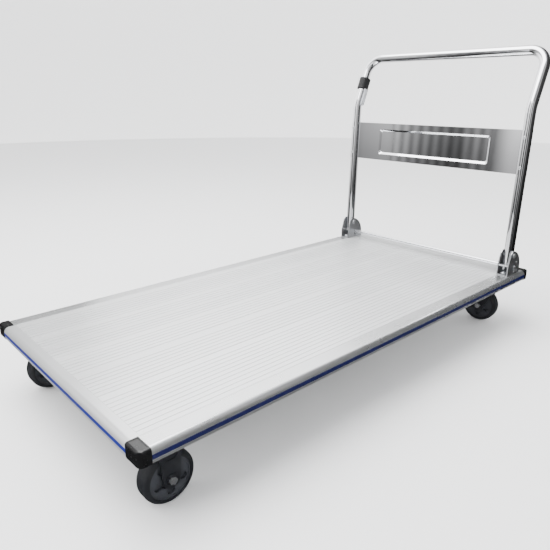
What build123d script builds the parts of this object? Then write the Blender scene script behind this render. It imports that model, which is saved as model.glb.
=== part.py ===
from build123d import *
import math
import os

# Folding platform cart. Millimetres, +Z up, +X towards the handle end.
# The origin is on the floor, under the centre of the deck.

# ---- deck, outside sizes ----
DECK_LENGTH = 1220.0
DECK_WIDTH = 610.0
DECK_THICKNESS = 26.0

# ---- side and end rails, aluminium extrusions ----
SIDE_RAIL_WIDTH = 38.0
END_RAIL_WIDTH = 24.0
RAIL_WALL = 2.5
RAIL_EDGE_RADIUS = 10.5
RAIL_OUTER_WALL = 4.5
RAIL_FOOT_CHAMFER = 2.0
RAIL_LIP = 10.0
STRIP_HEIGHT = 8.0
STRIP_DEPTH = 2.0
STRIP_PROUD = 0.4
STRIP_CLEARANCE = 0.1
RAIL_CAP_GAP = 0.3
STRIP_BELOW_EDGE = 0.3

# ---- deck planks, aluminium extrusions laid lengthwise; seams from the centre line ----
SEAMS = (-125.5, -25.5, 56.0, 111.0, 169.0)
PLANK_SKIN = 2.4
PLANK_WEB = 2.0
PLANK_FOOT = 8.0
PLANK_WEB_SPACING = 48.0
SEAM_GAP = 0.4
SEAM_CHAMFER = 0.9
GROOVE_PITCH = 12.1
GROOVE_WIDTH = 1.8
GROOVE_DEPTH = 0.7
GROOVE_END_MARGIN = 16.0

# ---- corner caps, moulded plastic ----
CAP_LENGTH = 21.0
CAP_PROUD = 0.6
CAP_RAISE = 0.8
CAP_DROP = 1.2
CAP_CORNER_RADIUS = 10.0
CAP_TOP_RADIUS = 4.5
CAP_BOTTOM_RADIUS = 3.5
CAP_WALL = 3.0
CAP_FACET_MARGIN = 2.2
CAP_FACET_DEPTH = 0.6
CAP_TONGUE = 12.0
CAP_TONGUE_CLEARANCE = 0.8

# ---- cross members under the deck ----
CARRIER_THICKNESS = 4.0
CARRIER_SCREW_STRIP = 14.0
CARRIER_END_MARGIN = 1.0
CARRIER_LIP_MARGIN = 1.0
MIDDLE_MEMBER_WIDTH = 60.0
MEMBER_SCREW_RADIUS = 2.5
MEMBER_SCREW_HEAD_RADIUS = 4.8
MEMBER_SCREW_HEAD = 2.8
MEMBER_SCREW_END = 1.0
MEMBER_SCREW_EDGE = 7.0

# ---- casters ----
CASTER_END_SETBACK = 74.0
CASTER_SIDE_INSET = 62.0
WHEEL_HEADROOM = 30.0
WHEEL_DIAMETER = 94.0
TYRE_WIDTH = 32.0
TYRE_WALL = 9.5
TYRE_SHOULDER = 9.0
TYRE_SIDE_LAND = 0.5
HUB_PROUD = 0.5
WHEEL_HUB_RADIUS = 11.0
WEB_RECESS = 2.5
WEB_BEAD = 1.0
WHEEL_ARMS = 5
ARM_WIDTH = 15.0
POCKET_RADIUS = 19.0
POCKET_DEPTH = 5.0
POCKET_MARGIN = 3.0
AXLE_RADIUS = 4.0
RUNNING_FIT = 0.05
HOLE_CLEARANCE = 0.1
CASTER_PLATE_LENGTH = 92.0
CASTER_PLATE_WIDTH = 66.0
CASTER_PLATE_THICKNESS = 3.5
CASTER_PLATE_CORNER = 7.0
CASTER_BOLT_EDGE = 9.0
CASTER_BOLT_RADIUS = 4.0
CASTER_BOLT_FLATS = 13.0
CASTER_BOLT_HEAD = 5.3
FORK_STEEL = 2.8
FORK_SIDE_GAP = 0.6
FORK_BOLT_ROOM = 8.0
FORK_WAIST_LENGTH = 38.0
FORK_WAIST_DROP = 34.0
FORK_END_RADIUS = 16.0
FORK_BOSS_RADIUS = 12.0
FORK_BOSS_HEIGHT = 0.8
FORK_PRESS_WIDTH = 26.0
FORK_PRESS_HEIGHT = 28.0
FORK_PRESS_BELOW_TOP = 8.0
FORK_PRESS_CORNER = 9.0
FORK_PRESS_DEPTH = 1.1
AXLE_FLATS = 13.0
AXLE_HEAD = 4.6
AXLE_HEAD_CHAMFER = 1.0
AXLE_NUT = 6.5
AXLE_THREAD_END = 2.5
SWIVEL_TRAIL = 26.0
SWIVEL_ANGLES = {"right": 95.6, "left": -78.0}
RACE_RADIUS = 27.0
RACE_HEIGHT = 6.0
RACE_GAP = 0.35
CROWN_RADIUS = 29.0
KINGPIN_RADIUS = 6.0
KINGPIN_HEAD_RADIUS = 10.0
KINGPIN_HEAD = 3.0

# ---- handle tube ----
TUBE_DIAMETER = 25.0
TUBE_WALL = 1.5
UPRIGHT_FROM_PLANKS = 12.0
HANDLE_LEAN = 1.5
HANDLE_BEND = 21.0
BEND_RADIUS = 70.0
CORNER_RADIUS = 46.0
BEND_ABOVE_DECK = 435.0
TOP_ABOVE_BEND = 139.0
TUBE_BELOW_PIVOT = 25.0
PLUG_LENGTH = 18.0
PLUG_CLEARANCE = 0.1

# ---- hinge brackets, folded steel ----
PIVOT_END_SETBACK = 80.0
PIN_RADIUS = 4.0
PIN_HEAD_RADIUS = 6.5
PIN_HEAD = 2.6
BRACKET_STEEL = 2.4
BRACKET_SIDE_GAP = 0.5
BRACKET_FRONT = 27.0
BRACKET_REAR = 42.0
BRACKET_ABOVE_PIVOT = 14.0
BRACKET_FRONT_HEIGHT = 27.0
BRACKET_SLANT = 10.0
BRACKET_REAR_HEIGHT = 12.0
BRACKET_TOP_RADIUS = 7.0
BRACKET_BACK_ALONG = 0.72
BRACKET_BACK_UP = 0.74
BRACKET_BOLT_FRONT_EDGE = 10.0
BRACKET_BOLT_REAR_EDGE = 9.0
BRACKET_BOLT_RADIUS = 4.0
BRACKET_BOLT_FLATS = 13.0
BRACKET_BOLT_HEAD = 5.3
BRACKET_BOLT_CHAMFER = 1.2
BRACKET_BOLT_CROWN = 0.6
BRACKET_BOLT_END = 2.0
BRACKET_NUT = 6.5
STOP_PLATE = 3.0
STOP_PLATE_SETBACK = 1.0
STOP_PLATE_BELOW_END = 1.7
MOVING_GAP = 0.35
RIVET_RADIUS = 2.5
RIVET_HEAD_RADIUS = 3.4
RIVET_HEAD = 1.4
RIVET_PLACES = ((20.0, 31.0), (25.0, 8.5))
HEAD_ROUNDING = 0.6

# ---- foot lock rod ----
ROD_RADIUS = 5.0
ROD_BEHIND_PIVOT = 10.0
ROD_TRAVEL = 9.0
ROD_FLOOR_GAP = 3.1
ROD_SWING_GAP = 2.01
ROD_SLOT_CLEARANCE = 0.4
ROD_END = 3.0
ROD_END_CHAMFER = 0.8
ROD_CLIP_WALL = 1.5
ROD_CLIP = 1.2
SPRING_RADIUS = 4.4
SPRING_WIRE = 0.8
SPRING_TURNS = 4.0
SPRING_END_GAP = 0.3

# ---- back panel, pressed sheet ----
PANEL_BELOW_BEND = 54.0
PANEL_HEIGHT = 112.0
PANEL_SHEET = 1.2
PANEL_FIT = 0.1
PANEL_HEM = 9.0
PANEL_HEM_END = 8.0
PANEL_PRESS_LENGTH = 368.0
PANEL_PRESS_HEIGHT = 78.0
PANEL_PRESS_DEPTH = 5.0
PANEL_PRESS_BEVEL = 7.0
PANEL_PRESS_CORNER = 8.0
PANEL_RIVET_HEAD_RADIUS = 4.2
PANEL_RIVET_HEAD = 1.6
PANEL_RIVET_INSET = 18.0

# ---- collar on the left upright ----
COLLAR_WALL = 5.0
COLLAR_LENGTH = 36.0
COLLAR_BELOW_CORNER = 18.45
COLLAR_SPLIT = 0.5
COLLAR_EDGE = 2.0
COLLAR_SCREW_RADIUS = 2.0
COLLAR_SCREW_SINK = 0.5
TAB_LENGTH = 52.0
TAB_WIDTH = 14.0
TAB_THICKNESS = 4.0
TAB_ROOT = 6.0
TAB_OFFSET = 2.5
TAB_END_LAND = 0.5
TAB_HOLE_RADIUS = 2.0

# ---- cutters reach this far past what they cut ----
OVERCUT = 1.0

# ---- sizes that follow ----
HALF_LENGTH = DECK_LENGTH / 2
HALF_WIDTH = DECK_WIDTH / 2
PLANK_HALF_WIDTH = HALF_WIDTH - SIDE_RAIL_WIDTH
PLANK_HALF_LENGTH = HALF_LENGTH - END_RAIL_WIDTH
STRIP_TOP = RAIL_EDGE_RADIUS + STRIP_BELOW_EDGE
SIDE_RAIL_HALF_LENGTH = HALF_LENGTH - CAP_LENGTH - RAIL_CAP_GAP
CASTER_X = HALF_LENGTH - CASTER_END_SETBACK
CASTER_Y = HALF_WIDTH - CASTER_SIDE_INSET
CASTER_HEIGHT = WHEEL_DIAMETER + WHEEL_HEADROOM
CASTER_BOLT_X = CASTER_PLATE_LENGTH - 2 * CASTER_BOLT_EDGE
CASTER_BOLT_Y = CASTER_PLATE_WIDTH - 2 * CASTER_BOLT_EDGE
CARRIER_INBOARD = CASTER_PLATE_LENGTH / 2 + CARRIER_SCREW_STRIP
DECK_BOTTOM = CASTER_HEIGHT + CARRIER_THICKNESS
DECK_TOP = DECK_BOTTOM + DECK_THICKNESS
WHEEL_RADIUS = WHEEL_DIAMETER / 2
WHEEL_HUB_LENGTH = TYRE_WIDTH + 2 * HUB_PROUD
WHEEL_WEB_WIDTH = TYRE_WIDTH - 2 * WEB_RECESS
FORK_TOP_LENGTH = CASTER_BOLT_X - 2 * FORK_BOLT_ROOM
FORK_INNER = WHEEL_HUB_LENGTH / 2 + FORK_SIDE_GAP
FORK_OUTER = FORK_INNER + FORK_STEEL
PLATE_BOTTOM = CASTER_HEIGHT - CASTER_PLATE_THICKNESS
RACE_BOTTOM = PLATE_BOTTOM - RACE_HEIGHT
CROWN_TOP = RACE_BOTTOM - RACE_GAP
CROWN_BOTTOM = CROWN_TOP - FORK_STEEL
TUBE_RADIUS = TUBE_DIAMETER / 2
TUBE_SWING = math.hypot(TUBE_RADIUS, TUBE_BELOW_PIVOT)
HANDLE_HALF_SPAN = PLANK_HALF_WIDTH + UPRIGHT_FROM_PLANKS
ROD_ABOVE_DECK = BRACKET_STEEL + ROD_FLOOR_GAP + ROD_RADIUS + ROD_TRAVEL
ROD_BELOW_PIVOT = math.sqrt((TUBE_SWING + ROD_SWING_GAP + ROD_RADIUS) ** 2 - ROD_BEHIND_PIVOT ** 2)
ROD_CLIP_RADIUS = ROD_RADIUS + ROD_CLIP_WALL
PIVOT_ABOVE_DECK = ROD_ABOVE_DECK + ROD_BELOW_PIVOT
PIVOT_X = HALF_LENGTH - PIVOT_END_SETBACK
PIVOT_Z = DECK_TOP + PIVOT_ABOVE_DECK
ROD_X = PIVOT_X + ROD_BEHIND_PIVOT
ROD_Z = DECK_TOP + ROD_ABOVE_DECK
BRACKET_HEIGHT = PIVOT_ABOVE_DECK + BRACKET_ABOVE_PIVOT
BRACKET_INNER = TUBE_RADIUS + BRACKET_SIDE_GAP
BRACKET_OUTER = BRACKET_INNER + BRACKET_STEEL
TOP_ABOVE_DECK = BEND_ABOVE_DECK + TOP_ABOVE_BEND
PANEL_BOTTOM = BEND_ABOVE_DECK - PANEL_BELOW_BEND - PANEL_HEIGHT
COLLAR_RADIUS = TUBE_RADIUS + COLLAR_WALL
SIDES = {"right": -1, "left": 1}
ENDS = {"front": -1, "rear": 1}


def block(x0, x1, y0, y1, z0, z1):
    """A box between two corners."""
    size = (abs(x1 - x0), abs(y1 - y0), abs(z1 - z0))
    return Pos((x0 + x1) / 2, (y0 + y1) / 2, (z0 + z1) / 2) * Box(*size)


def rod_y(x, z, y0, y1, radius):
    """A round bar along Y."""
    return Pos(x, (y0 + y1) / 2, z) * Rot(90, 0, 0) * Cylinder(radius, abs(y1 - y0))


def rod_z(x, y, z0, z1, radius):
    """A round bar along Z."""
    return Pos(x, y, (z0 + z1) / 2) * Cylinder(radius, abs(z1 - z0))


def hexagon_z(x, y, z0, z1, flats):
    """A hexagon head or nut with its axis along Z."""
    outline = Pos(x, y, z0) * RegularPolygon(flats / math.sqrt(3), 6)
    return extrude(outline, z1 - z0)


def hexagon_y(x, z, y0, y1, flats):
    """A hexagon head or nut with its axis along Y."""
    head = Rot(90, 0, 0) * extrude(RegularPolygon(flats / math.sqrt(3), 6), abs(y1 - y0))
    return Pos(x, max(y0, y1), z) * head


def flat_rectangle(u0, u1, v0, v1):
    """A rectangle face between two corners of a section."""
    return Pos((u0 + u1) / 2, (v0 + v1) / 2) * Rectangle(abs(u1 - u0), abs(v1 - v0))


def solids_of(shape):
    """The separate solids of one shape."""
    return list(shape.solids())


def group(shapes):
    """Separate solids kept side by side in one node."""
    return Compound(children=[solid for shape in shapes for solid in solids_of(shape)])


def save(shape, node):
    """Write one node."""
    export_step(shape, f"parts/{node}.step")


# ---------------------------------------------------------------- rails

def rail_section(width, inner_lip):
    """Open-bottomed rail section: u runs outwards from 0, v is 0 at the deck's top."""
    bottom = -DECK_THICKNESS
    bend = width - RAIL_EDGE_RADIUS
    outer = make_face(Wire([
        Line((0, 0), (bend, 0)),
        RadiusArc((bend, 0), (width, -RAIL_EDGE_RADIUS), RAIL_EDGE_RADIUS),
        Line((width, -RAIL_EDGE_RADIUS), (width, bottom + RAIL_FOOT_CHAMFER)),
        Line((width, bottom + RAIL_FOOT_CHAMFER), (width - RAIL_FOOT_CHAMFER, bottom)),
        Line((width - RAIL_FOOT_CHAMFER, bottom), (0, bottom)),
        Line((0, bottom), (0, 0)),
    ]))
    inner_side = width - RAIL_OUTER_WALL
    inner_radius = RAIL_EDGE_RADIUS - RAIL_OUTER_WALL + RAIL_WALL
    chamber = make_face(Wire([
        Line((RAIL_WALL, -RAIL_WALL), (inner_side - inner_radius, -RAIL_WALL)),
        RadiusArc((inner_side - inner_radius, -RAIL_WALL),
                  (inner_side, -RAIL_WALL - inner_radius), inner_radius),
        Line((inner_side, -RAIL_WALL - inner_radius), (inner_side, bottom + RAIL_WALL)),
        Line((inner_side, bottom + RAIL_WALL), (RAIL_WALL, bottom + RAIL_WALL)),
        Line((RAIL_WALL, bottom + RAIL_WALL), (RAIL_WALL, -RAIL_WALL)),
    ]))
    mouth = flat_rectangle(inner_lip, inner_side - RAIL_WALL, bottom - OVERCUT, bottom + RAIL_WALL + OVERCUT)
    groove = flat_rectangle(width - STRIP_DEPTH, width + OVERCUT, -STRIP_TOP - STRIP_HEIGHT, -STRIP_TOP)
    return outer - chamber - mouth - groove


def side_rail(side):
    """Long rail on one side, cut for the bracket and member screws."""
    half = SIDE_RAIL_HALF_LENGTH
    section = rail_section(SIDE_RAIL_WIDTH, RAIL_LIP)
    profile = Plane.YZ.offset(-half) * Pos(PLANK_HALF_WIDTH, DECK_TOP) * section
    rail = extrude(profile, 2 * half)
    if side < 0:
        rail = mirror(rail, Plane.XZ)
    top_holes = [rod_z(x, side * HANDLE_HALF_SPAN, DECK_TOP - 2 * RAIL_WALL, DECK_TOP + OVERCUT,
                       BRACKET_BOLT_RADIUS + HOLE_CLEARANCE)
                 for x in bracket_bolt_places()]
    lip_holes = [rod_z(x, y, DECK_BOTTOM - OVERCUT, DECK_BOTTOM + 2 * RAIL_WALL,
                       MEMBER_SCREW_RADIUS + HOLE_CLEARANCE)
                 for x, y in member_screw_places() if y * side > 0]
    for hole in top_holes + lip_holes:
        rail = rail - hole
    return rail


def end_rail(end):
    """Short rail across one end, between the corner caps."""
    half = PLANK_HALF_WIDTH
    section = rail_section(END_RAIL_WIDTH, RAIL_WALL)
    profile = Plane.XZ.offset(-half) * Pos(PLANK_HALF_LENGTH, DECK_TOP) * section
    rail = extrude(profile, 2 * half)
    return rail if end > 0 else mirror(rail, Plane.YZ)


def strip_section(width):
    """Coloured edge strip, slightly crowned, as it lies in a rail's groove."""
    inner = width - STRIP_DEPTH + STRIP_CLEARANCE
    top = -STRIP_TOP - STRIP_CLEARANCE
    low = -STRIP_TOP - STRIP_HEIGHT + STRIP_CLEARANCE
    crown = (width + STRIP_PROUD, (top + low) / 2)
    return make_face(Wire([
        Line((inner, low), (inner, top)),
        Line((inner, top), (width, top)),
        ThreePointArc((width, top), crown, (width, low)),
        Line((width, low), (inner, low)),
    ]))


def side_strip(side):
    """Edge strip of a long rail."""
    half = SIDE_RAIL_HALF_LENGTH
    profile = Plane.YZ.offset(-half) * Pos(PLANK_HALF_WIDTH, DECK_TOP) * strip_section(SIDE_RAIL_WIDTH)
    strip = extrude(profile, 2 * half)
    return strip if side > 0 else mirror(strip, Plane.XZ)


def end_strip(end):
    """Edge strip of an end rail."""
    half = PLANK_HALF_WIDTH
    profile = Plane.XZ.offset(-half) * Pos(PLANK_HALF_LENGTH, DECK_TOP) * strip_section(END_RAIL_WIDTH)
    strip = extrude(profile, 2 * half)
    return strip if end > 0 else mirror(strip, Plane.YZ)


# ---------------------------------------------------------------- planks

def plank(y0, y1):
    """One deck plank: grooved skin on webs with small feet."""
    low = y0 + SEAM_GAP / 2
    high = y1 - SEAM_GAP / 2
    bottom = -DECK_THICKNESS
    section = flat_rectangle(low, high, -PLANK_SKIN, 0)
    bays = max(1, round((high - low) / PLANK_WEB_SPACING))
    for index in range(bays + 1):
        centre = low + PLANK_WEB / 2 + (high - low - PLANK_WEB) * index / bays
        web = flat_rectangle(centre - PLANK_WEB / 2, centre + PLANK_WEB / 2, bottom, -PLANK_SKIN / 2)
        section = section + web
        foot_low = max(low, centre - PLANK_FOOT / 2)
        foot_high = min(high, centre + PLANK_FOOT / 2)
        section = section + flat_rectangle(foot_low, foot_high, bottom, bottom + PLANK_WEB)
    bevel = Rot(0, 0, 45) * Rectangle(SEAM_CHAMFER * math.sqrt(2), SEAM_CHAMFER * math.sqrt(2))
    for edge in (low, high):
        section = section - Pos(edge, 0) * bevel
    groove = low + GROOVE_PITCH
    while groove < high - GROOVE_END_MARGIN:
        cut = flat_rectangle(groove - GROOVE_WIDTH / 2, groove + GROOVE_WIDTH / 2, -GROOVE_DEPTH, OVERCUT)
        section = section - cut
        groove += GROOVE_PITCH
    half = PLANK_HALF_LENGTH - SEAM_GAP / 2
    return extrude(Plane.YZ.offset(-half) * Pos(0, DECK_TOP) * section, 2 * half)


def planks():
    """All planks, from the right side to the left."""
    edges = (-PLANK_HALF_WIDTH,) + SEAMS + (PLANK_HALF_WIDTH,)
    return [plank(edges[i], edges[i + 1]) for i in range(len(edges) - 1)]


# ---------------------------------------------------------------- corner caps

def corner_cap():
    """Moulded cap for the rear left corner; the others are its mirror images."""
    x0 = HALF_LENGTH - CAP_LENGTH
    y0 = PLANK_HALF_WIDTH + RAIL_CAP_GAP
    x1 = HALF_LENGTH + CAP_PROUD
    y1 = HALF_WIDTH + CAP_PROUD
    z0 = DECK_BOTTOM - CAP_DROP
    z1 = DECK_TOP + CAP_RAISE
    body = block(x0, x1, y0, y1, z0, z1)
    upright = body.edges().filter_by(Axis.Z).sort_by(lambda e: e.center().X + e.center().Y)[-1]
    body = fillet(upright, CAP_CORNER_RADIUS)
    top_outer = [e for e in body.faces().sort_by(Axis.Z)[-1].edges()
                 if e.center().X > x1 - CAP_CORNER_RADIUS or e.center().Y > y1 - CAP_CORNER_RADIUS]
    top_outer = [e for e in top_outer if e.center().X > x0 + OVERCUT and e.center().Y > y0 + OVERCUT]
    body = fillet(top_outer, CAP_TOP_RADIUS)
    low_outer = [e for e in body.faces().sort_by(Axis.Z)[0].edges()
                 if e.center().X > x0 + OVERCUT and e.center().Y > y0 + OVERCUT]
    body = fillet(low_outer, CAP_BOTTOM_RADIUS)
    facet = block(x0 + CAP_FACET_MARGIN, x1 - CAP_TOP_RADIUS - CAP_FACET_MARGIN / 2,
                  y0 + CAP_FACET_MARGIN, y1 - CAP_TOP_RADIUS - CAP_FACET_MARGIN / 2,
                  z1 - CAP_FACET_DEPTH, z1 + OVERCUT)
    facet = fillet(facet.edges().filter_by(Axis.Z), CAP_FACET_MARGIN)
    pocket = block(x0 + CAP_WALL, x1 - CAP_TOP_RADIUS, y0 + CAP_WALL, y1 - CAP_TOP_RADIUS,
                   z0 - OVERCUT, z1 - 2 * CAP_WALL)
    body = body - facet - pocket
    fit = RAIL_WALL + CAP_TONGUE_CLEARANCE
    low = DECK_BOTTOM + fit
    high = DECK_TOP - fit
    side_tongue = block(x0 - CAP_TONGUE, x0 + CAP_WALL,
                        PLANK_HALF_WIDTH + RAIL_LIP, HALF_WIDTH - RAIL_EDGE_RADIUS, low, high)
    end_tongue = block(PLANK_HALF_LENGTH + fit, HALF_LENGTH - RAIL_EDGE_RADIUS - RAIL_WALL / 2,
                       y0 - CAP_TONGUE, y0 + CAP_WALL, low, high)
    return body + side_tongue + end_tongue


# ---------------------------------------------------------------- cross members

def member_spans():
    """First and last X of each cross member."""
    inboard = CASTER_X - CARRIER_INBOARD
    outboard = PLANK_HALF_LENGTH - CARRIER_END_MARGIN
    return {"front": (-outboard, -inboard), "middle": (-MIDDLE_MEMBER_WIDTH / 2, MIDDLE_MEMBER_WIDTH / 2),
            "rear": (inboard, outboard)}


def member_half_width():
    """Half length across the deck, out to the rails' inner lips."""
    return PLANK_HALF_WIDTH + RAIL_LIP - CARRIER_LIP_MARGIN


def member_screw_places():
    """Screws that hold the cross members to the rails' lips, clear of the caster plates."""
    spans = member_spans()
    columns = [spans["front"][1] - MEMBER_SCREW_EDGE, spans["middle"][0] + MEMBER_SCREW_EDGE,
               spans["middle"][1] - MEMBER_SCREW_EDGE, spans["rear"][0] + MEMBER_SCREW_EDGE]
    lip = PLANK_HALF_WIDTH + RAIL_LIP / 2 + RAIL_WALL / 4
    return [(x, side * lip) for x in columns for side in SIDES.values()]


def caster_bolt_places(x, y):
    """Four bolts of one caster plate."""
    return [(x + sx * CASTER_BOLT_X / 2, y + sy * CASTER_BOLT_Y / 2) for sx in (-1, 1) for sy in (-1, 1)]


def cross_member(name):
    """Flat bar under the planks; the outer two carry the casters."""
    first, last = member_spans()[name]
    reach = member_half_width()
    bar = block(first, last, -reach, reach, CASTER_HEIGHT, DECK_BOTTOM)
    for x, y in member_screw_places():
        if first < x < last:
            bar = bar - rod_z(x, y, CASTER_HEIGHT - OVERCUT, DECK_BOTTOM + OVERCUT,
                              MEMBER_SCREW_RADIUS + HOLE_CLEARANCE)
    if name in ENDS:
        for side in SIDES.values():
            for x, y in caster_bolt_places(ENDS[name] * CASTER_X, side * CASTER_Y):
                bar = bar - rod_z(x, y, CASTER_HEIGHT - OVERCUT, DECK_BOTTOM + OVERCUT,
                                  CASTER_BOLT_RADIUS + HOLE_CLEARANCE)
    return bar


def member_screws():
    """Pan-head screws of the cross members."""
    screws = []
    for x, y in member_screw_places():
        shank = rod_z(x, y, CASTER_HEIGHT - MEMBER_SCREW_HEAD / 2, DECK_BOTTOM + RAIL_WALL + MEMBER_SCREW_END,
                      MEMBER_SCREW_RADIUS)
        head = rod_z(x, y, CASTER_HEIGHT - MEMBER_SCREW_HEAD, CASTER_HEIGHT, MEMBER_SCREW_HEAD_RADIUS)
        head = fillet(head.edges().sort_by(Axis.Z)[0], MEMBER_SCREW_HEAD / 2)
        screws.append(head + shank)
    return group(screws)


# ---------------------------------------------------------------- casters

def caster_plate(x, y):
    """Bolted top plate of a caster."""
    plate = block(x - CASTER_PLATE_LENGTH / 2, x + CASTER_PLATE_LENGTH / 2,
                  y - CASTER_PLATE_WIDTH / 2, y + CASTER_PLATE_WIDTH / 2, PLATE_BOTTOM, CASTER_HEIGHT)
    plate = fillet(plate.edges().filter_by(Axis.Z), CASTER_PLATE_CORNER)
    for bx, by in caster_bolt_places(x, y):
        plate = plate - rod_z(bx, by, PLATE_BOTTOM - OVERCUT, CASTER_HEIGHT + OVERCUT,
                              CASTER_BOLT_RADIUS + HOLE_CLEARANCE)
    return plate


def fork_press(top, side):
    """Shallow recess pressed in the upper part of a leg's outer face."""
    middle = top - FORK_PRESS_BELOW_TOP - FORK_PRESS_HEIGHT / 2
    sketch = Pos(0, middle) * RectangleRounded(FORK_PRESS_WIDTH, FORK_PRESS_HEIGHT, FORK_PRESS_CORNER)
    cutter = extrude(Plane.XZ.offset(-FORK_OUTER - OVERCUT) * sketch, FORK_PRESS_DEPTH + OVERCUT)
    return cutter if side > 0 else mirror(cutter, Plane.XZ)


def fork_leg(trail, top, y0, y1):
    """One side of a fork: wide at the top, waisted, with a round end at the axle."""
    waist_z = top - FORK_WAIST_DROP
    half_top = FORK_TOP_LENGTH / 2
    half_waist = FORK_WAIST_LENGTH / 2
    waist_x = trail * FORK_WAIST_DROP / (top - WHEEL_RADIUS)
    outline = Polygon(
        (-half_top, top), (-half_top, top - FORK_STEEL), (waist_x - half_waist, waist_z),
        (trail - FORK_END_RADIUS, WHEEL_RADIUS), (trail + FORK_END_RADIUS, WHEEL_RADIUS),
        (waist_x + half_waist, waist_z), (half_top, top - FORK_STEEL), (half_top, top), align=None)
    outline = outline + Pos(trail, WHEEL_RADIUS) * Circle(FORK_END_RADIUS)
    leg = extrude(Plane.XZ.offset(-max(y0, y1)) * outline, abs(y1 - y0))
    side = 1 if y0 + y1 > 0 else -1
    boss_end = FORK_OUTER + FORK_BOSS_HEIGHT
    boss = rod_y(trail, WHEEL_RADIUS, side * FORK_OUTER, side * boss_end, FORK_BOSS_RADIUS)
    leg = leg + boss - fork_press(top, side)
    hole = rod_y(trail, WHEEL_RADIUS, -boss_end - OVERCUT, boss_end + OVERCUT, AXLE_RADIUS + HOLE_CLEARANCE)
    return leg - hole


def fork_legs(trail, top):
    """Both legs of a fork about its own centre line."""
    return (fork_leg(trail, top, FORK_INNER, FORK_OUTER)
            + fork_leg(trail, top, -FORK_OUTER, -FORK_INNER))


def rigid_fork(side):
    """Fixed caster: top plate and both legs in one pressing."""
    legs = Pos(-CASTER_X, side * CASTER_Y, 0) * fork_legs(0.0, PLATE_BOTTOM)
    return caster_plate(-CASTER_X, side * CASTER_Y) + legs


def swivel_plate(side):
    """Top plate of a swivel caster, with the upper half of its ball race."""
    x = CASTER_X
    y = side * CASTER_Y
    race = rod_z(x, y, RACE_BOTTOM, PLATE_BOTTOM, RACE_RADIUS)
    race = chamfer(race.edges().sort_by(Axis.Z)[0], RACE_HEIGHT / 3)
    pin_hole = rod_z(x, y, RACE_BOTTOM - OVERCUT, CASTER_HEIGHT + OVERCUT, KINGPIN_RADIUS + HOLE_CLEARANCE)
    return caster_plate(x, y) + race - pin_hole


def swivel_place(side_name):
    """Kingpin place and heading of a swivel caster at rest."""
    side = SIDES[side_name]
    return Pos(CASTER_X, side * CASTER_Y, 0) * Rot(0, 0, SWIVEL_ANGLES[side_name])


def swivel_fork(side_name):
    """Swivel fork: crown disc under the race, and two legs that trail."""
    crown = rod_z(0, 0, CROWN_BOTTOM, CROWN_TOP, CROWN_RADIUS)
    shoulder = block(-FORK_TOP_LENGTH / 2, FORK_TOP_LENGTH / 2, -FORK_OUTER, FORK_OUTER,
                     CROWN_BOTTOM, CROWN_TOP)
    fork = crown + shoulder + fork_legs(SWIVEL_TRAIL, CROWN_TOP)
    fork = fork - rod_z(0, 0, CROWN_BOTTOM - OVERCUT, CROWN_TOP + OVERCUT, KINGPIN_RADIUS + RUNNING_FIT)
    return swivel_place(side_name) * fork


def kingpins():
    """Rivets that the swivel forks turn on."""
    pins = []
    for side in SIDES.values():
        x = CASTER_X
        y = side * CASTER_Y
        seat = CROWN_BOTTOM - MOVING_GAP
        pin = rod_z(x, y, seat - KINGPIN_HEAD, CASTER_HEIGHT - HOLE_CLEARANCE, KINGPIN_RADIUS)
        head = rod_z(x, y, seat - KINGPIN_HEAD, seat, KINGPIN_HEAD_RADIUS)
        head = chamfer(head.edges().sort_by(Axis.Z)[0], KINGPIN_HEAD / 3)
        pins.append(pin + head)
    return group(pins)


def axle():
    """Axle bolt with its nut, along Y, about the wheel's centre."""
    seat = FORK_OUTER + FORK_BOSS_HEIGHT
    end = seat + AXLE_NUT + AXLE_THREAD_END
    bolt = rod_y(0, 0, -seat - AXLE_HEAD / 2, end, AXLE_RADIUS)
    bolt = chamfer(bolt.edges().sort_by(Axis.Y)[-1], AXLE_HEAD_CHAMFER)
    head = hexagon_y(0, 0, -seat - AXLE_HEAD, -seat, AXLE_FLATS)
    crown = rod_y(0, 0, -seat - AXLE_HEAD, -seat, AXLE_FLATS / math.sqrt(3))
    head = head & chamfer(crown.edges().sort_by(Axis.Y)[0], AXLE_HEAD_CHAMFER)
    nut = hexagon_y(0, 0, seat, seat + AXLE_NUT, AXLE_FLATS)
    nut = nut - rod_y(0, 0, seat - OVERCUT, seat + AXLE_NUT + OVERCUT, AXLE_RADIUS)
    return Compound(children=[solids_of(bolt + head)[0], solids_of(nut)[0]])


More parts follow.
